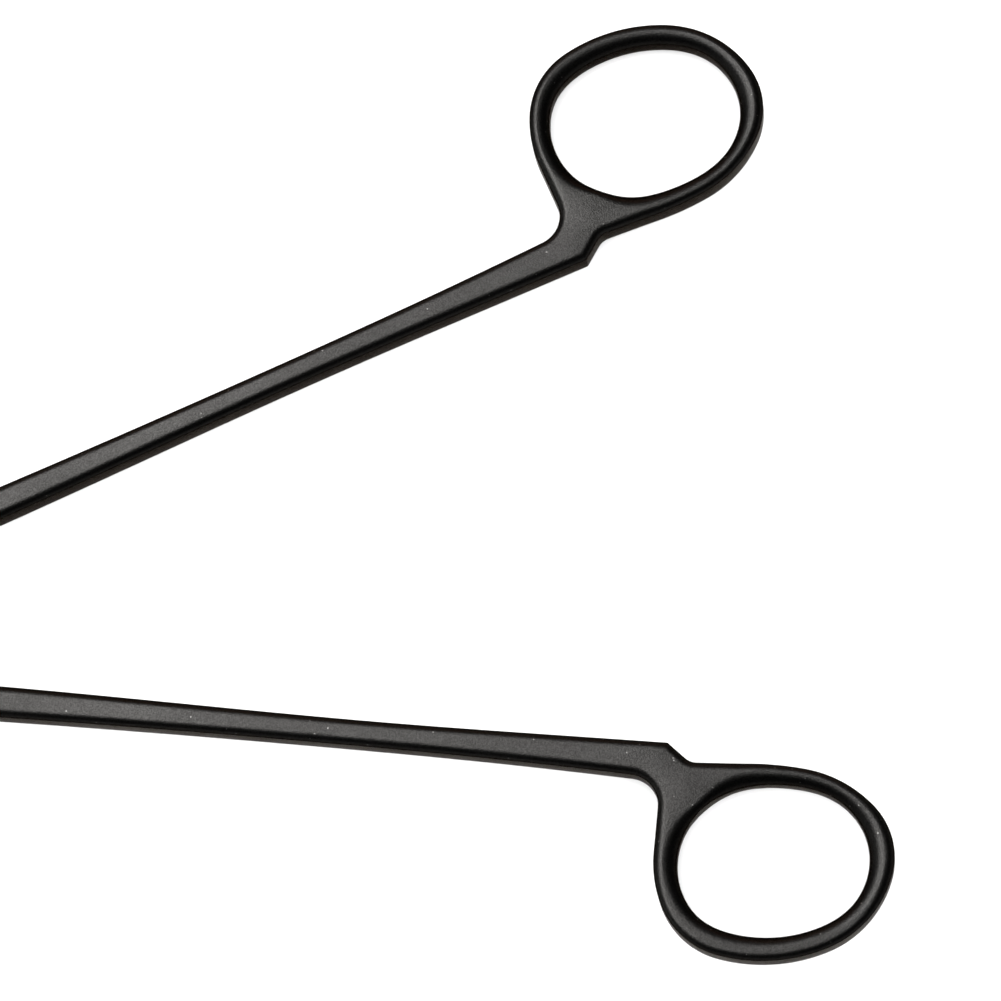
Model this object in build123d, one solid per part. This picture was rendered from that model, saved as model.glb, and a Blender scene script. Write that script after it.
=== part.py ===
from build123d import *
import os

# Ring-handled aquascaping tweezers: two one-piece steel arms that cross in a lap joint and
# turn on a slotted shoulder screw.  Each arm is a serrated jaw, half of the lap joint, a long
# shank, a stop and an oval finger ring.  The tool lies flat on z = 0 with its jaws towards -X
# and its finger rings towards +X, and the pivot is the Z axis.  It is drawn open.
# All sizes are millimetres.

# ---- driving dimensions -------------------------------------------------------------------
JAW_REACH = 101.3            # pivot to jaw tip
THICKNESS = 5.6              # shanks, rings and joint, along Z
REST_HALF_ANGLE = 14.77      # each arm's turn from the closed line, in degrees
EDGE_RADIUS = 1.18           # rounding along the faces of shank and ring
MID = THICKNESS / 2

# ---- lap joint ----------------------------------------------------------------------------
LAP_RADIUS = 6.8             # round half-thickness eye of each arm
LAP_CLEARANCE = 0.25         # between an eye and the other arm's curved shoulder
LAP_GAP = 0.3                # between the two eyes, taken up by the lap washer
LAP_WASHER_THICKNESS = 0.26
AXIAL_PLAY = 0.04            # between the spring washer and the seat that it rides on
SHOULDER_RADIUS = 2.0        # screw shoulder that the upper arm turns on
RUNNING_CLEARANCE = 0.03
THREAD_RADIUS = 1.5
HEAD_RADIUS = 4.0
HEAD_HEIGHT = 1.5
HEAD_ROUNDING = 0.45
SLOT_WIDTH = 0.9
SLOT_DEPTH = 0.7
HEAD_SEAT_RADIUS = 4.35      # counterbore in the upper arm's eye
HEAD_SEAT_DEPTH = 0.9
SPRING_WASHER_OUTER = 3.9
SPRING_WASHER_THICKNESS = 0.3
SPRING_WASHER_RISE = 0.12
LAP_WASHER_OUTER = 5.0
WASHER_BORE = 2.1
NUT_RADIUS = 3.2
NUT_SEAT_RADIUS = 3.45
NUT_SEAT_DEPTH = 1.25        # the nut and the screw's end are flush with the underside
NUT_SLOT_WIDTH = 1.0
NUT_SLOT_REACH = 1.0         # how far each spanner notch cuts in from the rim
NUT_SLOT_DEPTH = 0.6

# ---- shank and stop, in an arm's own closed frame ------------------------------------------
# The closed line is y = 0, the handle is at +y and the jaw at -y.
SHANK_ROOT_X = 3.0
SHANK_INNER = [
    (SHANK_ROOT_X, 0.26), (28.0, 0.17), (52.0, 0.18), (98.0, 0.52), (121.0, 0.2), (136.4, -0.08),
]
SHANK_OUTER = [(118.0, 4.47), (88.0, 4.2), (48.0, 4.52), (SHANK_ROOT_X, 5.6)]
STOP_CORNER_RADIUS = 0.7
RAMP_TOP = (139.7, 2.4)      # where the ramp behind the stop meets the underside of the ring
RAMP_TOP_RADIUS = 2.4
CROTCH_RADIUS = 4.2          # where the shank's outer edge turns up into the ring

# ---- finger ring ---------------------------------------------------------------------------
# The outside is a chain of tangent arcs from the flat under the ring round to its root.
RING_FLAT_END = (148.0, 1.82)
RING_ARC_ENDS = [
    (155.57, 1.93), (165.38, 6.24), (168.58, 15.79), (160.46, 26.47), (145.66, 28.61),
    (137.54, 22.47), (135.85, 15.19),
]
RING_ROOT_LENGTH = 10.2      # straight stretch from the last arc down to the crotch
RING_HOLE = [
    (165.4, 15.0), (163.5, 20.3), (158.3, 24.15), (149.5, 25.75), (142.6, 23.6), (139.15, 16.6),
    (141.2, 9.6), (146.3, 5.65), (153.0, 4.42), (160.5, 6.0), (164.4, 10.1),
]
# The two holes are finished by hand, so each is a little off the nominal outline.
HOLE_CENTRE = (152.3, 15.1)
UPPER_HOLE = (1.012, (-0.1, 0.15))   # growth about the centre, then a shift
LOWER_HOLE = (0.99, (0.0, -0.1))

# ---- jaw -----------------------------------------------------------------------------------
JAW_ROOT_X = -3.0
JAW_OUTER = [(JAW_ROOT_X, -4.9), (-12.0, -4.75), (-45.0, -3.6), (-80.0, -2.3), (-100.0, -1.62)]
JAW_TIP_INNER_X = -100.7
JAW_TIP_ROUND = (-101.25, -0.85)   # where the two arcs of the nose meet
GRIP_GAP = 0.02              # grip face to closed line
RELIEF_DEPTH = 0.4           # the jaws stand apart behind their serrated ends
GRIP_START_X = -76.0
GRIP_BLEND = 4.0
JAW_TIP_THICKNESS = 2.4
JAW_TAPER_START_X = -12.0
JAW_EDGE_RADIUS = 0.5
TOOTH_COUNT = 26
TOOTH_PITCH = 0.9
TOOTH_DEPTH = 0.35
FIRST_TOOTH_X = -99.3

# ---- helpers -------------------------------------------------------------------------------
OVER = 1.0                   # how far a cutter runs past what it cuts


def disc(radius, bottom, top):
    """An upright cylinder about the pivot between two heights."""
    return Pos(0, 0, (bottom + top) / 2) * Cylinder(radius, top - bottom)


def slot(length, width, bottom, top):
    """An upright block along X, centred on the pivot, for a driver slot."""
    return Pos(0, 0, (bottom + top) / 2) * Box(length, width, top - bottom)


def arc_chain(start, ends):
    """Arcs that follow on from an edge, each one tangent to the one before."""
    chain = [start]
    for end in ends:
        chain.append(TangentArc(chain[-1] @ 1, end, tangent=chain[-1] % 1))
    return chain[1:]


def ring_hole(growth, shift):
    """Flat face of one finger hole, grown about its centre and moved by small amounts."""
    points = []
    for x, y in RING_HOLE:
        points.append((
            HOLE_CENTRE[0] + growth * (x - HOLE_CENTRE[0]) + shift[0],
            HOLE_CENTRE[1] + growth * (y - HOLE_CENTRE[1]) + shift[1],
        ))
    return make_face(Spline(*points, periodic=True))


def handle_outline():
    """Closed face of shank, stop and ring, before the finger hole is cut."""
    inner = Spline(*SHANK_INNER)
    ramp = Line(SHANK_INNER[-1], RAMP_TOP)
    under = Line(RAMP_TOP, RING_FLAT_END)
    ring = arc_chain(under, RING_ARC_ENDS)
    crotch = Line(ring[-1] @ 1, ring[-1] @ 1 + (ring[-1] % 1) * RING_ROOT_LENGTH)
    outer = Spline(crotch @ 1, *SHANK_OUTER)
    root = Line(SHANK_OUTER[-1], SHANK_INNER[0])
    face = make_face(Curve() + [inner, ramp, under, *ring, crotch, outer, root])
    face = round_corner(face, SHANK_INNER[-1], STOP_CORNER_RADIUS)
    face = round_corner(face, RAMP_TOP, RAMP_TOP_RADIUS)
    return round_corner(face, crotch @ 1, CROTCH_RADIUS)


def round_corner(face, point, radius):
    """Rounds the one corner of a flat face that lies nearest a point."""
    corner = face.vertices().sort_by_distance(Vector(point))[0]
    return fillet(corner, radius)


def jaw_outline():
    """Closed face of the jaw, seen from above."""
    grip = -GRIP_GAP
    relief = grip - RELIEF_DEPTH
    tip = Line((JAW_TIP_INNER_X, grip), (GRIP_START_X, grip))
    blend = Spline(
        (GRIP_START_X, grip), (GRIP_START_X + GRIP_BLEND, relief), tangents=((1, 0), (1, 0))
    )
    back = Line((GRIP_START_X + GRIP_BLEND, relief), (JAW_ROOT_X, relief))
    root = Line((JAW_ROOT_X, relief), JAW_OUTER[0])
    outer = Spline(*JAW_OUTER)
    nose = TangentArc(JAW_OUTER[-1], JAW_TIP_ROUND, tangent=outer % 1)
    nose_end = TangentArc(nose @ 1, (JAW_TIP_INNER_X, grip), tangent=nose % 1)
    return make_face(Curve() + [tip, blend, back, root, outer, nose, nose_end])


def jaw_taper():
    """The two wedges above and below the jaw that thin it towards its tip."""
    drop = (THICKNESS - JAW_TIP_THICKNESS) / 2
    far = -JAW_REACH - OVER
    top = Polyline(
        (JAW_TAPER_START_X, THICKNESS), (far, THICKNESS - drop), (far, THICKNESS + OVER),
        (JAW_TAPER_START_X, THICKNESS + OVER), close=True,
    )
    wedge = extrude(Plane.XZ * make_face(top), amount=4 * LAP_RADIUS, both=True)
    return wedge + mirror(wedge, Plane.XY.offset(MID))


def serrations(first_x):
    """V grooves across the grip face, one for each tooth."""
    groove = Plane.XY * make_face(
        Polyline(
            (-TOOTH_PITCH / 2, OVER), (-TOOTH_PITCH / 2, 0), (0, -TOOTH_DEPTH),
            (TOOTH_PITCH / 2, 0), (TOOTH_PITCH / 2, OVER), close=True,
        )
    )
    cutter = extrude(groove, amount=THICKNESS)
    places = [Pos(first_x + n * TOOTH_PITCH, -GRIP_GAP, 0) for n in range(TOOTH_COUNT)]
    return [place * cutter for place in places]


def on_face(edge, height):
    """True for an edge that lies flat at one height."""
    box = edge.bounding_box()
    return abs(box.min.Z - height) < 1e-4 and abs(box.max.Z - height) < 1e-4


def rim_edges(solid, low_x):
    """Edges in the top and bottom faces that reach further out than low_x."""
    flat = [e for e in solid.edges() if on_face(e, 0) or on_face(e, THICKNESS)]
    return [e for e in flat if e.bounding_box().max.X > low_x]


def rounded_handle(hole):
    """Shank, stop and ring at full thickness, with rounded edges."""
    handle = extrude(handle_outline() - hole, amount=THICKNESS)
    return fillet(rim_edges(handle, SHANK_ROOT_X + 0.001), EDGE_RADIUS)


def rounded_jaw():
    """Tapered jaw, with its outer edges rounded and its grip face left square."""
    jaw = extrude(jaw_outline(), amount=THICKNESS) - jaw_taper()
    outer_face = jaw.faces().sort_by_distance(Vector(-60, -20, MID))[0]
    rim = [e for e in outer_face.edges() if e.bounding_box().size.X > 20]
    return fillet(rim, JAW_EDGE_RADIUS)


def arm_blank(hole):
    """Handle, eye and jaw joined, before the joint is cut."""
    eye = fillet(disc(LAP_RADIUS, 0, THICKNESS).edges(), EDGE_RADIUS / 2)
    return rounded_handle(hole) + eye + rounded_jaw()


def closed_arm(hole, first_tooth_x):
    """One arm in its own closed frame, with the lower half of its eye cut away."""
    arm = arm_blank(hole) - serrations(first_tooth_x)
    return arm - disc(LAP_RADIUS + LAP_CLEARANCE, -OVER, MID + LAP_GAP / 2)


def upper_arm():
    """The arm whose ring is at +Y, with its eye on top and the head's seat in it."""
    arm = closed_arm(ring_hole(*UPPER_HOLE), FIRST_TOOTH_X)
    arm -= disc(SHOULDER_RADIUS + RUNNING_CLEARANCE, 0, THICKNESS + OVER)
    arm -= disc(HEAD_SEAT_RADIUS, THICKNESS - HEAD_SEAT_DEPTH, THICKNESS + OVER)
    return Rot(0, 0, REST_HALF_ANGLE) * arm


def lower_arm():
    """The arm whose ring is at -Y: the same forging turned over, with its eye below."""
    arm = closed_arm(ring_hole(*LOWER_HOLE), FIRST_TOOTH_X + TOOTH_PITCH / 2)
    arm = Pos(0, 0, THICKNESS) * Rot(180, 0, 0) * arm
    arm -= disc(THREAD_RADIUS, -OVER, THICKNESS)
    arm -= disc(NUT_SEAT_RADIUS, -OVER, NUT_SEAT_DEPTH)
    return Rot(0, 0, -REST_HALF_ANGLE) * arm


def washer_seat():
    """Height of the spring washer's lower rim."""
    return THICKNESS - HEAD_SEAT_DEPTH + AXIAL_PLAY


def pivot_screw():
    """Slotted shoulder screw: head, plain shoulder and an end ground flush with the nut."""
    head_bottom = washer_seat() + SPRING_WASHER_THICKNESS + SPRING_WASHER_RISE
    head_top = head_bottom + HEAD_HEIGHT
    shoulder_bottom = MID - LAP_GAP / 2
    head = disc(HEAD_RADIUS, head_bottom, head_top)
    head = fillet(head.edges().group_by(Axis.Z)[-1], HEAD_ROUNDING)
    screw = head + disc(SHOULDER_RADIUS, shoulder_bottom, head_bottom)
    screw += disc(THREAD_RADIUS, 0, shoulder_bottom)
    screw -= slot(4 * HEAD_RADIUS, SLOT_WIDTH, head_top - SLOT_DEPTH, head_top + OVER)
    return Rot(0, 0, 28) * screw


def spring_washer():
    """Shallow cone washer that sets the tension of the pivot."""
    bottom = washer_seat()
    rise = SPRING_WASHER_RISE
    section = Polyline(
        (SPRING_WASHER_OUTER, bottom),
        (SPRING_WASHER_OUTER, bottom + SPRING_WASHER_THICKNESS),
        (WASHER_BORE, bottom + SPRING_WASHER_THICKNESS + rise),
        (WASHER_BORE, bottom + rise),
        close=True,
    )
    return revolve(Plane.XZ * make_face(section), Axis.Z)


def lap_washer():
    """Thin plain washer between the two eyes."""
    bottom = MID - LAP_GAP / 2
    top = bottom + LAP_WASHER_THICKNESS
    return disc(LAP_WASHER_OUTER, bottom, top) - disc(WASHER_BORE, bottom - OVER, top + OVER)


def lock_nut():
    """Round nut with two spanner notches, sunk in the underside of the lower arm's eye."""
    nut = disc(NUT_RADIUS, 0, NUT_SEAT_DEPTH) - disc(THREAD_RADIUS, -OVER, THICKNESS)
    for side in (-1, 1):
        notch = Pos(side * NUT_RADIUS, 0, NUT_SLOT_DEPTH / 2)
        nut -= notch * Box(NUT_SLOT_REACH * 2, NUT_SLOT_WIDTH, NUT_SLOT_DEPTH)
    return nut


PARTS = {
    "upper_arm": upper_arm,
    "lower_arm": lower_arm,
    "pivot_screw": pivot_screw,
    "spring_washer": spring_washer,
    "lap_washer": lap_washer,
    "lock_nut": lock_nut,
}

os.makedirs("parts", exist_ok=True)
for name, build in PARTS.items():
    export_step(build(), f"parts/{name}.step")
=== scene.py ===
"""Looks of ring-handled aquascaping tweezers: the arms' meshes, finishes, floor, light and camera."""

import logging
import math
from collections.abc import Sequence
from dataclasses import dataclass, field
from enum import Enum

import bpy
import numpy as np
from mathutils import Matrix, Vector


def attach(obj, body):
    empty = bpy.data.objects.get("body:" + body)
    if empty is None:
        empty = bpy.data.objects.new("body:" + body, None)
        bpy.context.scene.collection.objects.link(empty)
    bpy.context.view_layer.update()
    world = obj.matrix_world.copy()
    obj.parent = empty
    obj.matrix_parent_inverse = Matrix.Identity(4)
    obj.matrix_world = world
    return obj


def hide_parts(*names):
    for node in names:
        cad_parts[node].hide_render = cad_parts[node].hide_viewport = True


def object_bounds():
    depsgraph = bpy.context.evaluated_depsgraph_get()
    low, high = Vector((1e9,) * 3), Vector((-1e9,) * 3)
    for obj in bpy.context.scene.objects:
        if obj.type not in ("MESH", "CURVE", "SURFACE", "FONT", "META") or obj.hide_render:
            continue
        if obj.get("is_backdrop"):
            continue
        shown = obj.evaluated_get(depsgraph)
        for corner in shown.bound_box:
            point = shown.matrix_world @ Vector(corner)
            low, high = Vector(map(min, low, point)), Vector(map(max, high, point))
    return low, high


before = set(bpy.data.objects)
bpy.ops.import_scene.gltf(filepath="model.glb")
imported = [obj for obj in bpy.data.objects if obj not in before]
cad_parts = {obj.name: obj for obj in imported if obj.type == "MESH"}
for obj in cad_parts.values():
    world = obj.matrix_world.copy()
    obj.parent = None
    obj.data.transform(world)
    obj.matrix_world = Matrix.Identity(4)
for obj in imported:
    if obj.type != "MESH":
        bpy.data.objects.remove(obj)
CAD_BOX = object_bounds()
LOG = logging.getLogger("tweezers")
MM = 0.001
MERGE_DISTANCE = 2e-6
MIX_COLOUR_INPUTS = (6, 7)
MIX_COLOUR_OUTPUT = 2

Colour = tuple[float, float, float, float]
Range = tuple[float, float]
Point = tuple[float, float]
Place = tuple[float, float, float]
Plan = np.ndarray
Run = tuple[Plan, Plan | float]
Tree = bpy.types.NodeTree
Socket = bpy.types.NodeSocket


# ---- node helpers -----------------------------------------------------------------------


def feed(tree: Tree, target: Socket, value: Socket | float | Colour) -> None:
    """Gives an input a link from another node's socket, or a plain value.

    Args:
        tree: Node tree that holds both nodes.
        target: Input that is fed.
        value: Socket to link, or the value itself.
    """
    if isinstance(value, bpy.types.NodeSocket):
        tree.links.new(value, target)
    else:
        target.default_value = value


def object_place(tree: Tree) -> Socket:
    """Adds the coordinates of the object itself, in metres."""
    return tree.nodes.new("ShaderNodeTexCoord").outputs["Object"]


def math_node(tree: Tree, operation: str, *values: Socket | float) -> Socket:
    """Adds a Math node.

    Args:
        tree: Node tree that gets the node.
        operation: Name of the sum, such as MULTIPLY.
        *values: Sockets or numbers for its inputs.

    Returns:
        The node's output.
    """
    node = tree.nodes.new("ShaderNodeMath")
    node.operation = operation
    for socket, value in zip(node.inputs, values):
        feed(tree, socket, value)
    return node.outputs[0]


def noise(tree: Tree, vector: Socket, scale: Socket | float, detail: float, roughness: float) -> Socket:
    """Adds a Noise texture.

    Args:
        tree: Node tree that gets the node.
        vector: Coordinates that the noise lies on.
        scale: Features per metre.
        detail: Number of finer layers.
        roughness: Strength of the finer layers.

    Returns:
        The noise's value.
    """
    node = tree.nodes.new("ShaderNodeTexNoise")
    settings = {"Vector": vector, "Scale": scale, "Detail": detail, "Roughness": roughness}
    for name, value in settings.items():
        feed(tree, node.inputs[name], value)
    return node.outputs["Fac"]


def spread(tree: Tree, value: Socket, given: Range, wanted: Range) -> Socket:
    """Adds a Map Range node that stretches one range of values over another.

    Args:
        tree: Node tree that gets the node.
        value: Value to stretch.
        given: Lowest and highest value that come in, past which it is held.
        wanted: What comes out for them.

    Returns:
        The stretched value.
    """
    node = tree.nodes.new("ShaderNodeMapRange")
    node.clamp = True
    feed(tree, node.inputs["Value"], value)
    for name, number in zip(("From Min", "From Max", "To Min", "To Max"), (*given, *wanted)):
        feed(tree, node.inputs[name], number)
    return node.outputs["Result"]


def mix_colour(tree: Tree, mask: Socket, first: Socket | Colour, second: Socket | Colour) -> Socket:
    """Adds a Mix node for colours.

    Args:
        tree: Node tree that gets the node.
        mask: Share of the second colour.
        first: Colour where the mask is 0.
        second: Colour where the mask is 1.

    Returns:
        The mixed colour.
    """
    node = tree.nodes.new("ShaderNodeMix")
    node.data_type = "RGBA"
    feed(tree, node.inputs["Factor"], mask)
    for index, colour in zip(MIX_COLOUR_INPUTS, (first, second)):
        feed(tree, node.inputs[index], colour)
    return node.outputs[MIX_COLOUR_OUTPUT]


def add_bump(tree: Tree, shader: bpy.types.Node, height: Socket, depth: float) -> None:
    """Gives a shader a fine relief.

    Args:
        tree: Material's node tree.
        shader: Shader that gets the relief.
        height: Relief, from 0 to 1.
        depth: Depth of the relief in metres.
    """
    node = tree.nodes.new("ShaderNodeBump")
    feed(tree, node.inputs["Distance"], depth)
    feed(tree, node.inputs["Height"], height)
    feed(tree, shader.inputs["Normal"], node.outputs["Normal"])


def new_material(name: str) -> tuple[bpy.types.Material, Tree, bpy.types.Node]:
    """Starts a material.

    Args:
        name: Name of the material.

    Returns:
        The material, its node tree and its shader.
    """
    material = bpy.data.materials.new(name)
    material.use_nodes = True
    return material, material.node_tree, material.node_tree.nodes["Principled BSDF"]


# ---- shared effects ---------------------------------------------------------------------


class EffectKind(Enum):
    """Surface effects that several finishes share."""

    BLASTED_GRAIN = "blasted_grain"
    STRAY_FLECKS = "stray_flecks"
    LATHE_MARKS = "lathe_marks"


def new_group(kind: EffectKind, inputs: dict[str, float]) -> tuple[Tree, dict[str, Socket]]:
    """Starts a shader node group.

    Args:
        kind: Effect that names the group.
        inputs: Names and default values of its number inputs.

    Returns:
        The group's tree, and its inner input sockets by name.
    """
    tree = bpy.data.node_groups.new(kind.value, "ShaderNodeTree")
    for name, value in inputs.items():
        socket = tree.interface.new_socket(name, in_out="INPUT", socket_type="NodeSocketFloat")
        socket.default_value = value
    entry = tree.nodes.new("NodeGroupInput")
    return tree, {name: entry.outputs[name] for name in inputs}


def close_group(tree: Tree, outputs: dict[str, Socket]) -> Tree:
    """Gives a group its number outputs.

    Args:
        tree: The group's tree.
        outputs: Inner sockets that it puts out, by name.

    Returns:
        The finished tree.
    """
    for name in outputs:
        tree.interface.new_socket(name, in_out="OUTPUT", socket_type="NodeSocketFloat")
    exit_node = tree.nodes.new("NodeGroupOutput")
    for name, socket in outputs.items():
        feed(tree, exit_node.inputs[name], socket)
    return tree


@dataclass
class Effects:
    """The shared effects, each built once."""

    pit_detail: float = 3.0
    pit_roughness: float = 0.6
    pit_range: Range = (0.34, 0.66)
    unevenness_per_metre: float = 60.0
    unevenness_detail: float = 3.0
    unevenness_roughness: float = 0.55
    unevenness_range: Range = (0.3, 0.7)
    mark_detail: float = 2.0
    mark_roughness: float = 0.5
    mark_range: Range = (0.35, 0.65)
    patches_per_metre: float = 520.0
    patch_detail: float = 4.0
    patch_roughness: float = 0.62
    patch_range: Range = (0.42, 0.70)
    dullest_patch: float = 0.7
    groups: dict[EffectKind, Tree] = field(default_factory=dict)

    def group(self, kind: EffectKind) -> Tree:
        """Finds the group of an effect, and builds it the first time.

        Args:
            kind: The effect.

        Returns:
            The effect's node group.
        """
        if kind not in self.groups:
            build = {
                EffectKind.BLASTED_GRAIN: self._blasted_grain,
                EffectKind.STRAY_FLECKS: self._stray_flecks,
                EffectKind.LATHE_MARKS: self._lathe_marks,
            }[kind]
            self.groups[kind] = build()
        return self.groups[kind]

    def place(self, tree: Tree, kind: EffectKind, values: dict[str, float]) -> bpy.types.Node:
        """Places an effect in a material.

        Args:
            tree: Material's node tree.
            kind: The effect.
            values: Values of its inputs that differ from the effect's own, by name.

        Returns:
            The placed group node.
        """
        node = tree.nodes.new("ShaderNodeGroup")
        node.node_tree = self.group(kind)
        for name, value in values.items():
            node.inputs[name].default_value = value
        return node

    def _blasted_grain(self) -> Tree:
        """Makes the fine pitted grain of bead blasting, with a broad unevenness beside it.

        Returns:
            The effect's node group.
        """
        tree, given = new_group(EffectKind.BLASTED_GRAIN, {"Pits per metre": 3000.0})
        place = object_place(tree)
        fine = noise(tree, place, given["Pits per metre"], self.pit_detail, self.pit_roughness)
        broad = noise(
            tree, place, self.unevenness_per_metre, self.unevenness_detail, self.unevenness_roughness
        )
        return close_group(tree, {
            "Pits": spread(tree, fine, self.pit_range, (0.0, 1.0)),
            "Unevenness": spread(tree, broad, self.unevenness_range, (0.0, 1.0)),
        })

    def _stray_flecks(self) -> Tree:
        """Makes sparse specks, such as dust and tiny knocks.

        Returns:
            The effect's node group.
        """
        inputs = {"Flecks per metre": 2600.0, "Share": 0.014, "Size": 0.28}
        tree, given = new_group(EffectKind.STRAY_FLECKS, inputs)
        cells = tree.nodes.new("ShaderNodeTexVoronoi")
        cells.feature = "F1"
        feed(tree, cells.inputs["Vector"], object_place(tree))
        feed(tree, cells.inputs["Scale"], given["Flecks per metre"])
        chosen = tree.nodes.new("ShaderNodeSeparateColor")
        feed(tree, chosen.inputs["Color"], cells.outputs["Color"])
        rare = math_node(tree, "LESS_THAN", chosen.outputs["Red"], given["Share"])
        near = math_node(tree, "LESS_THAN", cells.outputs["Distance"], given["Size"])
        return close_group(tree, {"Flecks": math_node(tree, "MULTIPLY", rare, near)})

    def _lathe_marks(self) -> Tree:
        """Makes uneven concentric marks round the Z axis, and broad dull patches.

        Returns:
            The effect's node group.
        """
        tree, given = new_group(EffectKind.LATHE_MARKS, {"Marks per metre": 5000.0})
        place = object_place(tree)
        parts = tree.nodes.new("ShaderNodeSeparateXYZ")
        feed(tree, parts.inputs["Vector"], place)
        squares = [math_node(tree, "MULTIPLY", parts.outputs[axis], parts.outputs[axis]) for axis in "XY"]
        radius = math_node(tree, "SQRT", math_node(tree, "ADD", *squares))
        across = tree.nodes.new("ShaderNodeCombineXYZ")
        feed(tree, across.inputs["X"], radius)
        feed(tree, across.inputs["Z"], parts.outputs["Z"])
        per_metre = given["Marks per metre"]
        marks = noise(tree, across.outputs["Vector"], per_metre, self.mark_detail, self.mark_roughness)
        patches = noise(tree, place, self.patches_per_metre, self.patch_detail, self.patch_roughness)
        return close_group(tree, {
            "Marks": spread(tree, marks, self.mark_range, (0.0, 1.0)),
            "Dullness": spread(tree, patches, self.patch_range, (0.0, self.dullest_patch)),
        })


# ---- finishes ---------------------------------------------------------------------------


@dataclass(frozen=True)
class BlackCoating:
    """Satin black hard coating over bead-blasted steel.

    The coating mirrors the room like a very dark metal, and its pits swallow more of the light.
    """

    name: str = "blasted_black"
    colour: Colour = (0.0130, 0.0127, 0.0123, 1.0)
    pit_colour: Colour = (0.0056, 0.0054, 0.0052, 1.0)
    edge_colour: Colour = (0.40, 0.38, 0.36, 1.0)
    fleck_colour: Colour = (0.050, 0.049, 0.047, 1.0)
    roughness: Range = (0.31, 0.38)
    pits_per_metre: float = 4600.0
    bump_depth: float = 0.000014

    def build(self, effects: Effects) -> bpy.types.Material:
        """Makes the material.

        Args:
            effects: Shared effects to place in it.

        Returns:
            The finished material.
        """
        material, tree, shader = new_material(self.name)
        grain = effects.place(tree, EffectKind.BLASTED_GRAIN, {"Pits per metre": self.pits_per_metre})
        flecks = effects.place(tree, EffectKind.STRAY_FLECKS, {})
        base = mix_colour(tree, grain.outputs["Pits"], self.pit_colour, self.colour)
        base = mix_colour(tree, flecks.outputs["Flecks"], base, self.fleck_colour)
        shader.inputs["Metallic"].default_value = 1.0
        shader.inputs["Specular Tint"].default_value = self.edge_colour
        feed(tree, shader.inputs["Base Color"], base)
        rough = spread(tree, grain.outputs["Unevenness"], (0.0, 1.0), self.roughness)
        feed(tree, shader.inputs["Roughness"], rough)
        add_bump(tree, shader, grain.outputs["Pits"], self.bump_depth)
        return material


@dataclass(frozen=True)
class TurnedSteel:
    """Bare stainless steel of the pivot's screw, washer and nut, with lathe marks and dull patches."""

    name: str = "turned_steel"
    colour: Colour = (0.46, 0.45, 0.43, 1.0)
    groove_colour: Colour = (0.30, 0.29, 0.275, 1.0)
    stain_colour: Colour = (0.17, 0.155, 0.14, 1.0)
    stain_share: float = 0.01
    stain_size: float = 0.4
    roughness: Range = (0.23, 0.43)
    marks_per_metre: float = 5200.0
    bump_depth: float = 0.000006

    def build(self, effects: Effects) -> bpy.types.Material:
        """Makes the material.

        Args:
            effects: Shared effects to place in it.

        Returns:
            The finished material.
        """
        material, tree, shader = new_material(self.name)
        stain = {"Share": self.stain_share, "Size": self.stain_size}
        lathe = effects.place(tree, EffectKind.LATHE_MARKS, {"Marks per metre": self.marks_per_metre})
        flecks = effects.place(tree, EffectKind.STRAY_FLECKS, stain)
        base = mix_colour(tree, lathe.outputs["Marks"], self.groove_colour, self.colour)
        base = mix_colour(tree, lathe.outputs["Dullness"], base, self.groove_colour)
        base = mix_colour(tree, flecks.outputs["Flecks"], base, self.stain_colour)
        shader.inputs["Metallic"].default_value = 1.0
        feed(tree, shader.inputs["Base Color"], base)
        rough = spread(tree, lathe.outputs["Dullness"], (0.0, 1.0), self.roughness)
        feed(tree, shader.inputs["Roughness"], rough)
        add_bump(tree, shader, lathe.outputs["Marks"], self.bump_depth)
        return material


@dataclass(frozen=True)
class PlainPolymer:
    """Low-friction polymer of the washer between the arms."""

    name: str = "moulded_polymer"
    colour: Colour = (0.72, 0.70, 0.65, 1.0)
    pit_colour: Colour = (0.612, 0.595, 0.5525, 1.0)
    roughness: float = 0.5
    pits_per_metre: float = 2500.0

    def build(self, effects: Effects) -> bpy.types.Material:
        """Makes the material.

        Args:
            effects: Shared effects to place in it.

        Returns:
            The finished material.
        """
        material, tree, shader = new_material(self.name)
        grain = effects.place(tree, EffectKind.BLASTED_GRAIN, {"Pits per metre": self.pits_per_metre})
        base = mix_colour(tree, grain.outputs["Pits"], self.pit_colour, self.colour)
        feed(tree, shader.inputs["Base Color"], base)
        shader.inputs["Roughness"].default_value = self.roughness
        return material


# ---- plan curves ------------------------------------------------------------------------


def unit(vector: Plan) -> Plan:
    """Vector of length one in the same direction."""
    return vector / np.linalg.norm(vector)


def turned(vector: Plan, angles: Plan | float) -> Plan:
    """Turns a plan vector anticlockwise.

    Args:
        vector: The vector.
        angles: One or more turns in radians.

    Returns:
        The turned vector, with a row for each turn.
    """
    cos, sin = np.cos(angles), np.sin(angles)
    return np.stack([cos * vector[0] - sin * vector[1], sin * vector[0] + cos * vector[1]], axis=-1)


def ease(share: Plan) -> Plan:
    """Smooths a share from 0 to 1, so that it sets off and arrives gently."""
    return share * share * (3 - 2 * share)


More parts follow.
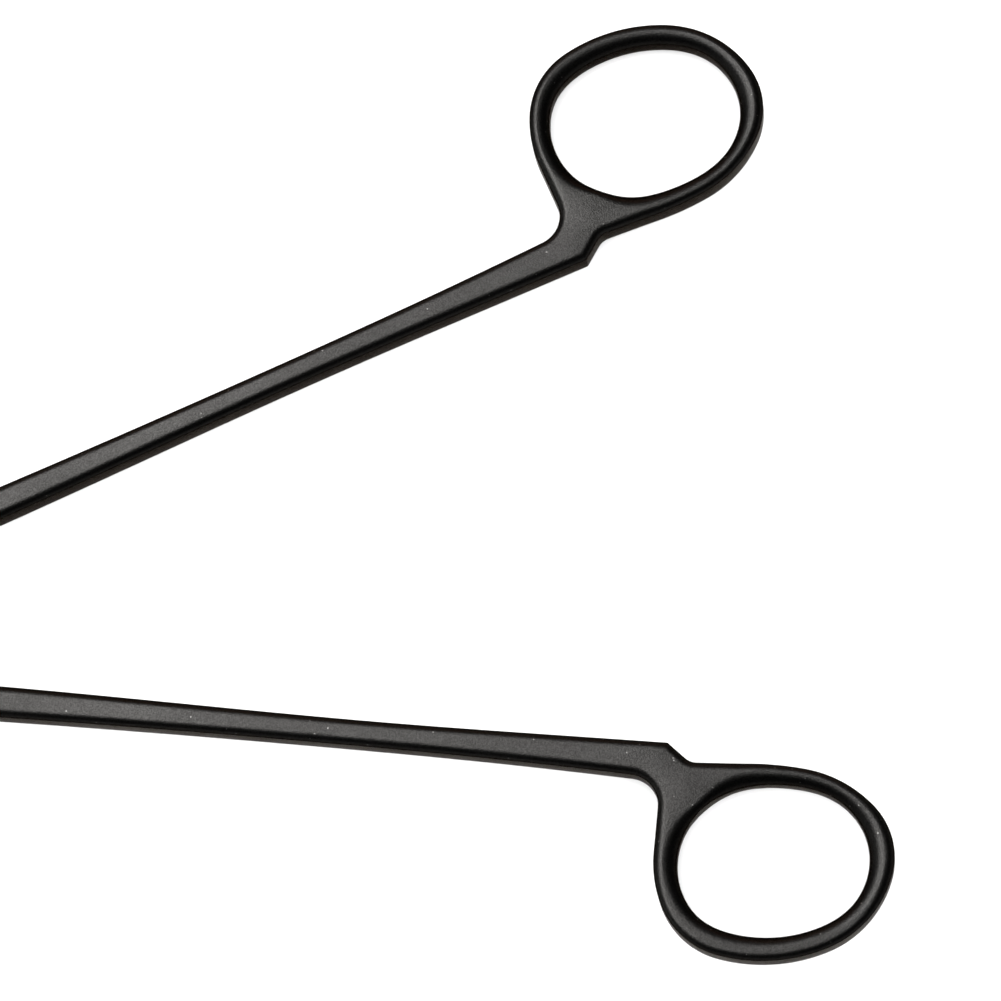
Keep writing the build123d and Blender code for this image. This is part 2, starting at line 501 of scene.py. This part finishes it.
def even_cubic(points: Sequence[Point | Plan], count: int, closed: bool = False) -> Plan:
    """Runs one smooth cubic curve through a few plan points.

    Args:
        points: Points that the curve passes through.
        count: Number of points to return.
        closed: Whether the curve joins up with itself.

    Returns:
        Evenly timed points along the curve, with both ends if it is open.
    """
    knots = np.array(points, float)
    if closed:
        knots = np.vstack([knots, knots[:1]])
    time = np.concatenate([[0.0], np.cumsum(np.linalg.norm(np.diff(knots, axis=0), axis=1))])
    gap = np.diff(time)
    slope = np.diff(knots, axis=0) / gap[:, None]
    n = len(knots)
    system, right = np.zeros((n, n)), np.zeros((n, 2))
    for i in range(1, n - 1):
        system[i, i - 1 : i + 2] = gap[i - 1], 2 * (gap[i - 1] + gap[i]), gap[i]
        right[i] = 6 * (slope[i] - slope[i - 1])
    if closed:
        system[0, [0, 1, n - 2]] = 2 * (gap[0] + gap[-1]), gap[0], gap[-1]
        right[0] = 6 * (slope[0] - slope[-1])
        system[n - 1, [0, n - 1]] = 1.0, -1.0
    else:
        system[0, 0] = system[n - 1, n - 1] = 1.0
    bend = np.linalg.solve(system, right)
    when = np.linspace(0.0, time[-1], count + 1 if closed else count)
    if closed:
        when = when[:-1]
    k = np.clip(np.searchsorted(time, when, side="right") - 1, 0, n - 2)
    h, left, rest = gap[k][:, None], (when - time[k])[:, None], (time[k + 1] - when)[:, None]
    curved = bend[k] * rest**3 / (6 * h) + bend[k + 1] * left**3 / (6 * h)
    return curved + (knots[k] / h - bend[k] * h / 6) * rest + (knots[k + 1] / h - bend[k + 1] * h / 6) * left


def tangent_arc(start: Plan, direction: Plan, end: Point, step: float) -> tuple[Plan, Plan]:
    """Draws the arc that leaves a point in one direction and reaches another point.

    Args:
        start: First point of the arc.
        direction: Unit direction in which it leaves.
        end: Last point of the arc.
        step: Greatest spacing of its points.

    Returns:
        The arc's points after the first, and its direction at the end.
    """
    chord = np.array(end) - start
    normal = np.array([-direction[1], direction[0]])
    curve = 2 * (chord @ normal) / (chord @ chord)
    turn = 2 * math.atan2(chord @ normal, chord @ direction)
    centre = start + normal / curve
    count = max(2, int(abs(turn / curve) / step) + 1)
    angles = np.linspace(0, turn, count + 1)[1:]
    return centre + turned(start - centre, angles), turned(direction, turn)


def rounded_corner(before: Plan, corner: Plan, after: Plan, radius: float, count: int) -> Plan:
    """Rounds one corner between two straight runs.

    Args:
        before: A point on the run that arrives.
        corner: The corner.
        after: A point on the run that leaves.
        radius: Radius of the rounding.
        count: Number of points on the arc.

    Returns:
        The points of the arc, ends included.
    """
    arriving, leaving = unit(corner - before), unit(after - corner)
    cross = arriving[0] * leaving[1] - arriving[1] * leaving[0]
    turn = math.atan2(cross, arriving @ leaving)
    start = corner - arriving * radius * abs(math.tan(turn / 2))
    side = math.copysign(radius, turn)
    centre = start + side * np.array([-arriving[1], arriving[0]])
    return centre + turned(start - centre, np.linspace(0, turn, count))


def straight(start: Plan | Point, end: Plan | Point, step: float) -> Plan:
    """Divides a straight run.

    Args:
        start: Its first point.
        end: Its last point.
        step: Least spacing of the points between them.

    Returns:
        The points between the first and the last.
    """
    start, end = np.array(start), np.array(end)
    count = max(1, int(np.linalg.norm(end - start) / step))
    share = np.linspace(0, 1, count + 1)[1:-1, None]
    return start * (1 - share) + end * share


# ---- mesh helpers -----------------------------------------------------------------------


def select_only(active: bpy.types.Object, *others: bpy.types.Object) -> None:
    """Selects one or more objects and nothing else.

    Args:
        active: Object that becomes the active one.
        *others: Other objects to select with it.
    """
    bpy.ops.object.select_all(action="DESELECT")
    for obj in (active, *others):
        obj.select_set(True)
    bpy.context.view_layer.objects.active = active


def cut_away(obj: bpy.types.Object, cutter: bpy.types.Object) -> None:
    """Cuts one object out of another and removes it.

    Args:
        obj: Object that is cut.
        cutter: Closed object whose space is taken away.
    """
    modifier = obj.modifiers.new("cut", "BOOLEAN")
    modifier.operation = "DIFFERENCE"
    modifier.solver = "EXACT"
    modifier.object = cutter
    select_only(obj)
    bpy.ops.object.modifier_apply(modifier=modifier.name)
    bpy.data.objects.remove(cutter)


@dataclass
class Rim:
    """One closed edge of an arm's plan, with the rounding and the heights along it, in millimetres."""

    plan: Plan
    radius: Plan
    top: Plan
    bottom: Plan
    inset: float
    mitre_limit: float = 0.35

    def inward(self) -> Plan:
        """Works out the way inwards at each point.

        Returns:
            Offset at each point that moves both of its edges inwards by one unit.
        """
        before = self.plan - np.roll(self.plan, 1, axis=0)
        after = np.roll(self.plan, -1, axis=0) - self.plan
        before /= np.linalg.norm(before, axis=1)[:, None]
        after /= np.linalg.norm(after, axis=1)[:, None]
        first = np.stack([-before[:, 1], before[:, 0]], 1)
        second = np.stack([-after[:, 1], after[:, 0]], 1)
        mitre = 1 + (first * second).sum(1)
        return (first + second) / np.maximum(mitre, self.mitre_limit)[:, None]

    def sheet(self, steps: int) -> np.ndarray:
        """Draws rows of points from the bottom face over the rounded side to the top face.

        Args:
            steps: Number of steps in each rounding.

        Returns:
            Array of rows by points by three coordinates.
        """
        inward, rows = self.inward(), []
        quarter = np.linspace(0, math.pi / 2, steps + 1)
        for face, side, angles in ((self.bottom, 1, quarter[::-1]), (self.top, -1, quarter)):
            for angle in angles:
                place = self.plan + inward * (self.inset + self.radius * (1 - math.cos(angle)))[:, None]
                height = face + side * self.radius * (1 - math.sin(angle))
                rows.append(np.column_stack([place, height]))
        return np.array(rows)


# ---- the tool ---------------------------------------------------------------------------


@dataclass
class ForgedArm:
    """One arm: jaw, half of the lap joint, shank, stop and finger ring.

    It is built in its own closed frame, with the closed line on the X axis, the handle at +Y and
    the jaw at -Y, and is then turned over if need be and turned to rest.  Sizes are millimetres.
    """

    name: str
    body: str
    node: str
    hole_growth: float
    hole_shift: Point
    first_tooth_x: float
    bore_radius: float
    seat_radius: float
    seat_depth: float
    turned_over: bool
    rest_angle: float
    thickness: float = 5.6
    skin: float = 0.03
    # Rounding along the edges of the top and bottom faces.
    edge_radius: float = 1.18
    hole_edge_radius: float = 1.1
    eye_rounding: float = 0.6
    jaw_rounding: float = 0.6
    tip_rounding: float = 0.5
    tip_stretch: Range = (-100.0, -82.0)
    relief_rounding: float = 0.12
    grip_rounding: float = 0.06
    tooth_rounding: float = 0.04
    # The ring's two roundings meet in a crest.
    ring_width: float = 3.4
    ring_start_x: float = 128.0
    root_ease: float = 3.0
    crest_outside: float = 0.38
    rounded_share: float = 0.985
    outboard_rounding: float = 1.0
    outboard_y: Range = (17.0, 24.0)
    blend_passes: int = 6
    # Eye and joint.
    eye_radius: float = 6.8
    lap_clearance_radius: float = 7.05
    lap_face: float = 2.95
    seat_chamfer: float = 0.1
    chamfer_over: float = 0.15
    cutter_over: float = 1.0
    cutter_sides: tuple[int, int, int] = (128, 64, 96)
    # Shank, stop and ring.
    shank_inner: tuple[Point, ...] = (
        (6.8, 0.24), (28.0, 0.17), (52.0, 0.18), (98.0, 0.52), (121.0, 0.2), (136.4, -0.08),
    )
    ramp_top: Point = (139.7, 2.4)
    ramp_top_radius: float = 2.4
    ring_flat_end: Point = (148.0, 1.82)
    ring_arc_ends: tuple[Point, ...] = (
        (155.57, 1.93), (165.38, 6.24), (168.58, 15.79), (160.46, 26.47), (145.66, 28.61),
        (137.54, 22.47), (135.85, 15.19),
    )
    ring_root_length: float = 10.2
    crotch_radius: float = 4.2
    crotch_gap: float = 0.4
    shank_outer: tuple[Point, ...] = ((118.0, 4.47), (88.0, 4.2), (48.0, 4.52), (4.0, 5.57))
    hole: tuple[Point, ...] = (
        (165.4, 15.0), (163.5, 20.3), (158.3, 24.15), (149.5, 25.75), (142.6, 23.6), (139.15, 16.6),
        (141.2, 9.6), (146.3, 5.65), (153.0, 4.42), (160.5, 6.0), (164.4, 10.1),
    )
    hole_centre: Point = (152.3, 15.1)
    # Jaw.
    jaw_outer: tuple[Point, ...] = (
        (-100.0, -1.62), (-80.0, -2.3), (-45.0, -3.6), (-12.0, -4.75), (-5.0, -4.6),
    )
    jaw_nose: Point = (-101.25, -0.85)
    jaw_tip: Point = (-100.7, -0.02)
    jaw_root_gap: float = 0.15
    relief_y: float = -0.42
    relief_end_x: float = -72.0
    grip_start_x: float = -76.0
    tooth_count: int = 26
    tooth_pitch: float = 0.9
    tooth_depth: float = 0.35
    taper_start_x: float = -12.0
    taper_depth: float = 1.6
    taper_length: float = 90.3
    # Fineness of the mesh: points on a curve, or the spacing along it.
    shank_points: int = 70
    jaw_points: int = 46
    hole_points: int = 150
    ramp_top_points: int = 7
    crotch_points: int = 12
    crotch_lead_points: int = 3
    grip_blend_points: int = 7
    nose_lead_points: int = 5
    straight_step: float = 0.6
    relief_step: float = 2.0
    ring_step: float = 0.5
    eye_step: float = 0.35
    nose_step: float = 0.13
    rounding_steps: int = 8
    smooth_angle: float = 32.0

    def build(self, material: bpy.types.Material) -> bpy.types.Object:
        """Builds the arm and puts it on its body.

        Args:
            material: Finish of the whole arm.

        Returns:
            The finished arm.
        """
        outside, hole = self._outside(), self._hole()
        self._round_the_ring(outside, hole)
        arm = self._wrap(outside, "outside")
        select_only(arm, self._wrap(hole, "inside"))
        bpy.ops.object.join()
        self._close_faces(arm)
        self._cut_joint(arm)
        self._place(arm)
        arm.name = arm.data.name = self.name
        arm.data.materials.clear()
        arm.data.materials.append(material)
        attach(arm, self.body)
        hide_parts(self.node)
        LOG.info("built %s with %d faces", self.name, len(arm.data.polygons))
        return arm

    def _outside(self) -> Rim:
        """Draws the arm's whole outside: shank, stop, ring, eye and jaw.

        Returns:
            Its rim, anticlockwise.
        """
        inner = even_cubic(self.shank_inner, self.shank_points)
        ramp_top, flat_end = np.array(self.ramp_top), np.array(self.ring_flat_end)
        top_arc = rounded_corner(inner[-1], ramp_top, flat_end, self.ramp_top_radius, self.ramp_top_points)
        handle = [
            inner,
            straight(inner[-1], top_arc[0], self.straight_step),
            top_arc,
            straight(top_arc[-1], flat_end, self.straight_step),
            flat_end[None],
        ]
        place, heading = flat_end, unit(flat_end - ramp_top)
        for end in self.ring_arc_ends:
            points, heading = tangent_arc(place, heading, end, self.ring_step)
            handle.append(points)
            place = points[-1]
        crotch = place + heading * self.ring_root_length
        outer = even_cubic((crotch, *self.shank_outer), self.shank_points)
        leaving = outer[self.crotch_lead_points]
        bend = rounded_corner(place, crotch, leaving, self.crotch_radius, self.crotch_points)
        handle.append(straight(place, bend[0], self.straight_step))
        handle.append(bend)
        handle.append(outer[outer[:, 0] < bend[-1][0] - self.crotch_gap])
        eye = self._eye_arc(outer[-1], (-self.eye_radius, self.relief_y))
        runs = [(points, self.edge_radius) for points in handle]
        runs += [(eye, self.eye_rounding), *self._jaw()]
        plan = np.vstack([points for points, _ in runs])
        radius = np.concatenate([np.broadcast_to(value, len(points)) for points, value in runs])
        return self._rim(plan, radius)

    def _eye_arc(self, start: Plan | Point, end: Plan | Point) -> Plan:
        """Draws the eye's edge from one bearing to another, anticlockwise.

        Args:
            start: Point on the first bearing.
            end: Point on the last bearing.

        Returns:
            The arc's points after the first.
        """
        first = math.atan2(start[1], start[0])
        last = math.atan2(end[1], end[0])
        last += 2 * math.pi if last < first else 0.0
        count = int((last - first) * self.eye_radius / self.eye_step)
        angles = np.linspace(first, last, count)[1:]
        return self.eye_radius * np.stack([np.cos(angles), np.sin(angles)], 1)

    def _jaw(self) -> list[Run]:
        """Draws the jaw from the eye out to its tip and back to the shank's root.

        Returns:
            Stretches of points, each with its rounding.
        """
        grip_y = self.jaw_tip[1]
        relief = straight(
            (-self.eye_radius, self.relief_y), (self.relief_end_x, self.relief_y), self.relief_step
        )
        share = np.linspace(0, 1, self.grip_blend_points)
        blend = np.column_stack([
            self.relief_end_x + share * (self.grip_start_x - self.relief_end_x),
            self.relief_y + ease(share) * (grip_y - self.relief_y),
        ])
        teeth = []
        for n in reversed(range(self.tooth_count)):
            middle = self.first_tooth_x + n * self.tooth_pitch
            teeth.append((middle + self.tooth_pitch / 2, grip_y))
            teeth.append((middle, grip_y - self.tooth_depth))
        teeth.append((self.first_tooth_x - self.tooth_pitch / 2, grip_y))
        back = even_cubic(self.jaw_outer, self.jaw_points)
        outer_nose, heading = tangent_arc(back[0], unit(back[0] - back[1]), self.jaw_nose, self.nose_step)
        inner_nose, _ = tangent_arc(outer_nose[-1], heading, self.jaw_tip, self.nose_step)
        nose = np.vstack([outer_nose, inner_nose])[::-1]
        nose_rounding = np.interp(
            np.arange(len(nose)), (0, self.nose_lead_points), (self.grip_rounding, self.tip_rounding)
        )
        back = back[np.linalg.norm(back, axis=1) >= self.eye_radius + self.jaw_root_gap]
        back_rounding = np.interp(back[:, 0], self.tip_stretch, (self.tip_rounding, self.jaw_rounding))
        eye = self._eye_arc(back[-1], self.shank_inner[0])[:-1]
        return [
            (relief, self.relief_rounding),
            (blend, self.relief_rounding),
            (np.array(teeth), self.tooth_rounding),
            (nose, nose_rounding),
            (back, back_rounding),
            (eye, self.eye_rounding),
        ]

    def _hole(self) -> Rim:
        """Draws the edge of the finger hole.

        Returns:
            Its rim, clockwise so that its inward side is the metal.
        """
        centre = np.array(self.hole_centre)
        moved = centre + np.array(self.hole_shift)
        points = [moved + self.hole_growth * (np.array(point) - centre) for point in self.hole]
        plan = even_cubic(points, self.hole_points, closed=True)[::-1]
        return self._rim(plan, np.full(len(plan), self.hole_edge_radius))

    def _rim(self, plan: Plan, radius: Plan) -> Rim:
        """A rim with the jaw's taper in its heights."""
        drop = np.maximum(self.taper_start_x - plan[:, 0], 0) * self.taper_depth / self.taper_length
        return Rim(plan, radius, self.thickness - drop, drop, self.skin)

    def _round_the_ring(self, outside: Rim, hole: Rim) -> None:
        """Rounds both rims of the ring until they meet in a crest, and eases off at its root.

        The hole's rounding is the wider one, so the crest runs nearer to the ring's outer edge.

        Args:
            outside: Rim of the whole outside.
            hole: Rim of the finger hole.
        """
        gaps = np.linalg.norm(outside.plan[:, None] - hole.plan[None], axis=2)
        rims = ((outside, gaps.min(1), self.crest_outside), (hole, gaps.min(0), 1 - self.crest_outside))
        for rim, width, part in rims:
            part *= self.rounded_share
            root = ease(np.clip((width - self.ring_width) / self.root_ease, 0, 1))
            outboard = np.interp(rim.plan[:, 1], self.outboard_y, (0.0, 1.0))
            full = part * np.minimum(width, self.ring_width) * (1 - (1 - self.outboard_rounding) * outboard)
            near = rim.plan[:, 0] > self.ring_start_x
            soft = np.where(near, full * (1 - root) + rim.radius * root, rim.radius)
            for _ in range(self.blend_passes):
                soft = (np.roll(soft, 1) + 2 * soft + np.roll(soft, -1)) / 4
            rim.radius = np.where(near, np.minimum(soft, part * width), rim.radius)

    def _wrap(self, rim: Rim, name: str) -> bpy.types.Object:
        """Wraps a sheet of quads round a rim, from its bottom face to its top face.

        Args:
            rim: Rim to wrap.
            name: Name of the new object.

        Returns:
            The wrapped sheet, with its seam merged.
        """
        rows = rim.sheet(self.rounding_steps)
        rows = np.concatenate([rows, rows[:, :1]], axis=1)
        faces_round, faces_up = rows.shape[1] - 1, rows.shape[0] - 1
        bpy.ops.object.select_all(action="DESELECT")
        bpy.ops.mesh.primitive_grid_add(
            x_subdivisions=faces_round, y_subdivisions=faces_up, size=1.0, location=(0, 0, 0)
        )
        sheet = bpy.context.object
        sheet.name = name
        flat = np.zeros(len(sheet.data.vertices) * 3)
        sheet.data.vertices.foreach_get("co", flat)
        # The new grid is 1 m wide and centred, so half a metre more gives each point's share.
        share = flat.reshape(-1, 3) + 0.5
        along = np.rint(share[:, 0] * faces_round).astype(int)
        up = np.rint(share[:, 1] * faces_up).astype(int)
        sheet.data.vertices.foreach_set("co", (rows[up, along] * MM).ravel())
        sheet.data.update()
        bpy.ops.object.mode_set(mode="EDIT")
        bpy.ops.mesh.select_all(action="SELECT")
        bpy.ops.mesh.remove_doubles(threshold=MERGE_DISTANCE)
        bpy.ops.object.mode_set(mode="OBJECT")
        return sheet

    def _close_faces(self, arm: bpy.types.Object) -> None:
        """Fills the arm's top and bottom faces between the outside and the hole.

        Args:
            arm: The two wrapped sheets, joined.
        """
        middle = self.thickness * MM / 2
        bpy.ops.object.mode_set(mode="EDIT")
        bpy.ops.mesh.select_mode(type="EDGE")
        for at_top in (True, False):
            bpy.ops.mesh.select_all(action="DESELECT")
            bpy.ops.mesh.select_non_manifold(
                extend=False, use_wire=False, use_multi_face=False, use_non_contiguous=False, use_verts=False
            )
            bpy.ops.object.mode_set(mode="OBJECT")
            points = arm.data.vertices
            for edge in arm.data.edges:
                height = (points[edge.vertices[0]].co.z + points[edge.vertices[1]].co.z) / 2
                edge.select = edge.select and (height > middle) == at_top
            for polygon in arm.data.polygons:
                polygon.select = False
            bpy.ops.object.mode_set(mode="EDIT")
            bpy.ops.mesh.fill(use_beauty=True)
        bpy.ops.mesh.select_all(action="SELECT")
        bpy.ops.mesh.normals_make_consistent(inside=False)
        bpy.ops.object.mode_set(mode="OBJECT")

    def _cut_joint(self, arm: bpy.types.Object) -> None:
        """Cuts the lap, the screw's bore and the chamfered seat of the head or the nut.

        Args:
            arm: The closed arm.
        """
        top, lap, bore = self.thickness, self.lap_clearance_radius, self.bore_radius
        seat, chamfer = self.seat_radius, self.seat_chamfer
        mouth = seat + chamfer + self.chamfer_over
        below, above = -self.cutter_over, top + self.cutter_over
        lap_sides, bore_sides, seat_sides = self.cutter_sides
        cutters = (
            (lap, lap, below, self.lap_face, lap_sides),
            (bore, bore, below, above, bore_sides),
            (seat, seat, top - self.seat_depth, above, seat_sides),
            (seat - chamfer, mouth, top - 2 * chamfer, top + self.chamfer_over, seat_sides),
        )
        for low_radius, high_radius, bottom, roof, sides in cutters:
            bpy.ops.object.select_all(action="DESELECT")
            bpy.ops.mesh.primitive_cone_add(
                vertices=sides, radius1=low_radius * MM, radius2=high_radius * MM,
                depth=(roof - bottom) * MM, location=(0, 0, (roof + bottom) / 2 * MM),
            )
            cut_away(arm, bpy.context.object)

    def _place(self, arm: bpy.types.Object) -> None:
        """Turns the arm over if need be, opens it to rest and smooths its shading.

        Args:
            arm: The arm in its own closed frame.
        """
        turn = Matrix.Rotation(math.radians(self.rest_angle), 4, "Z")
        if self.turned_over:
            lift = Matrix.Translation((0, 0, self.thickness * MM))
            turn = turn @ lift @ Matrix.Rotation(math.pi, 4, "X")
        arm.data.transform(turn)
        arm.matrix_world = Matrix.Identity(4)
        select_only(arm)
        bpy.ops.object.shade_smooth_by_angle(angle=math.radians(self.smooth_angle))


@dataclass
class Tweezers:
    """The two arms and the pivot's hardware."""

    steel: tuple[str, ...] = ("pivot_screw", "spring_washer", "lock_nut")
    polymer: tuple[str, ...] = ("lap_washer",)
    rest_angle: float = 14.77
    first_tooth_x: float = -99.3

    def build(self, effects: Effects) -> None:
        """Builds the arms and dresses the hardware.

        Args:
            effects: Shared effects for the finishes.
        """
        coating = BlackCoating().build(effects)
        ForgedArm(
            name="upper_forging", body="upper", node="upper_arm", hole_growth=1.012, hole_shift=(-0.1, 0.15),
            first_tooth_x=self.first_tooth_x, bore_radius=2.03, seat_radius=4.35, seat_depth=0.9,
            turned_over=False, rest_angle=self.rest_angle,
        ).build(coating)
        ForgedArm(
            name="lower_forging", body="lower", node="lower_arm", hole_growth=0.99, hole_shift=(0.0, -0.1),
            first_tooth_x=self.first_tooth_x + ForgedArm.tooth_pitch / 2, bore_radius=1.5,
            seat_radius=3.45, seat_depth=1.25, turned_over=True, rest_angle=-self.rest_angle,
            outboard_rounding=0.80,
        ).build(coating)
        for names, finish in ((self.steel, TurnedSteel()), (self.polymer, PlainPolymer())):
            material = finish.build(effects)
            for name in names:
                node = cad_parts[name]
                node.data.materials.clear()
                node.data.materials.append(material)
                LOG.info("dressed %s with %s", name, finish.name)


# ---- studio -----------------------------------------------------------------------------


@dataclass(frozen=True)
class Panel:
    """A rectangular light that shows only in reflections.

    Its size is in metres and its power in watts.  Its tilt is two turns in degrees, about the X and
    Y axes, from facing straight down.
    """

    name: str
    size: tuple[float, float]
    power: float
    place: Place
    tilt: tuple[float, float]
    colour: tuple[float, float, float] = (1.0, 1.0, 1.0)

    def build(self) -> bpy.types.Object:
        """Adds the light.

        Returns:
            The light.
        """
        data = bpy.data.lights.new(self.name, "AREA")
        data.shape = "RECTANGLE"
        data.size, data.size_y = self.size
        data.energy = self.power
        data.color = self.colour
        lamp = bpy.data.objects.new(self.name, data)
        lamp.visible_diffuse = False
        lamp.location = self.place
        lamp.rotation_euler = (math.radians(self.tilt[0]), math.radians(self.tilt[1]), 0.0)
        bpy.context.scene.collection.objects.link(lamp)
        return lamp


@dataclass
class Studio:
    """Pale floor, soft light and camera, in metres.

    A softbox hangs overhead, a warm board stands beyond the tool, and a low light stands on the
    jaws' side.
    """

    floor_colour: Colour = (0.86, 0.86, 0.86, 1.0)
    floor_roughness: float = 0.6
    floor_size: float = 6.0
    floor_drop: float = 0.00002
    camera_place: Place = (0.1406, -0.1840, 0.8144)
    camera_right: Place = (0.98533, -0.15663, -0.06776)
    camera_up: Place = (0.16777, 0.96177, 0.21644)
    lens: float = 215.8
    sensor_width: float = 36.0
    clip: Range = (0.01, 50.0)
    room_colour: Colour = (1.0, 1.0, 1.0, 1.0)
    room_strength: float = 2.6
    room_in_reflections: float = 0.10
    panels: tuple[Panel, ...] = (
        Panel("softbox", (0.8, 0.8), 61.0, (-0.29, 0.28, 1.17), (-13.0, 0.0)),
        Panel("warm_board", (2.4, 1.0), 9.0, (0.1, 1.7, 0.55), (-72.0, 0.0), (1.0, 0.56, 0.36)),
        Panel("side_light", (0.7, 1.6), 7.0, (-1.7, -0.1, 0.36), (0.0, -78.0)),
    )

    def build(self) -> None:
        """Adds floor, lights and camera."""
        self._floor()
        self._world()
        for panel in self.panels:
            panel.build()
        self._camera()

    def _floor(self) -> None:
        """Adds the floor that the tool lies on, a hair below its underside."""
        bpy.ops.mesh.primitive_plane_add(size=self.floor_size, location=(0.0, 0.0, -self.floor_drop))
        floor = bpy.context.object
        floor.name = "floor"
        bpy.ops.object.transform_apply(location=True, rotation=True, scale=True)
        material, _, shader = new_material("floor_white")
        shader.inputs["Base Color"].default_value = self.floor_colour
        shader.inputs["Roughness"].default_value = self.floor_roughness
        floor.data.materials.append(material)
        floor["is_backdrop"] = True

    def _world(self) -> None:
        """Lights the room evenly, and keeps it dim in reflections, as dark walls beyond the lights are."""
        world = bpy.data.worlds.new("studio")
        world.use_nodes = True
        tree = world.node_tree
        background = tree.nodes["Background"]
        background.inputs["Color"].default_value = self.room_colour
        mirrored = tree.nodes.new("ShaderNodeLightPath").outputs["Is Glossy Ray"]
        strength = spread(tree, mirrored, (0.0, 1.0), (self.room_strength, self.room_in_reflections))
        feed(tree, background.inputs["Strength"], strength)
        bpy.context.scene.world = world
        bpy.context.scene.view_settings.view_transform = "Standard"

    def _camera(self) -> None:
        """Adds the camera at its place and aim."""
        data = bpy.data.cameras.new("camera")
        data.lens = self.lens
        data.sensor_width = self.sensor_width
        data.clip_start, data.clip_end = self.clip
        camera = bpy.data.objects.new("camera", data)
        right, up = Vector(self.camera_right), Vector(self.camera_up)
        turn = Matrix((right, up, right.cross(up))).transposed()
        camera.matrix_world = Matrix.Translation(self.camera_place) @ turn.to_4x4()
        bpy.context.scene.collection.objects.link(camera)
        bpy.context.scene.camera = camera


def write_sizes() -> None:
    """Works out the designed box and the visual model's box."""
    boxes = {"cad": CAD_BOX, "visual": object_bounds()}
    plain = {name: [list(map(float, corner)) for corner in box] for name, box in boxes.items()}


def main() -> None:
    """Builds the tool's looks and the studio."""
    logging.basicConfig(level=logging.INFO)
    Tweezers().build(Effects())
    Studio().build()
    write_sizes()


if __name__ == "__main__":
    main()
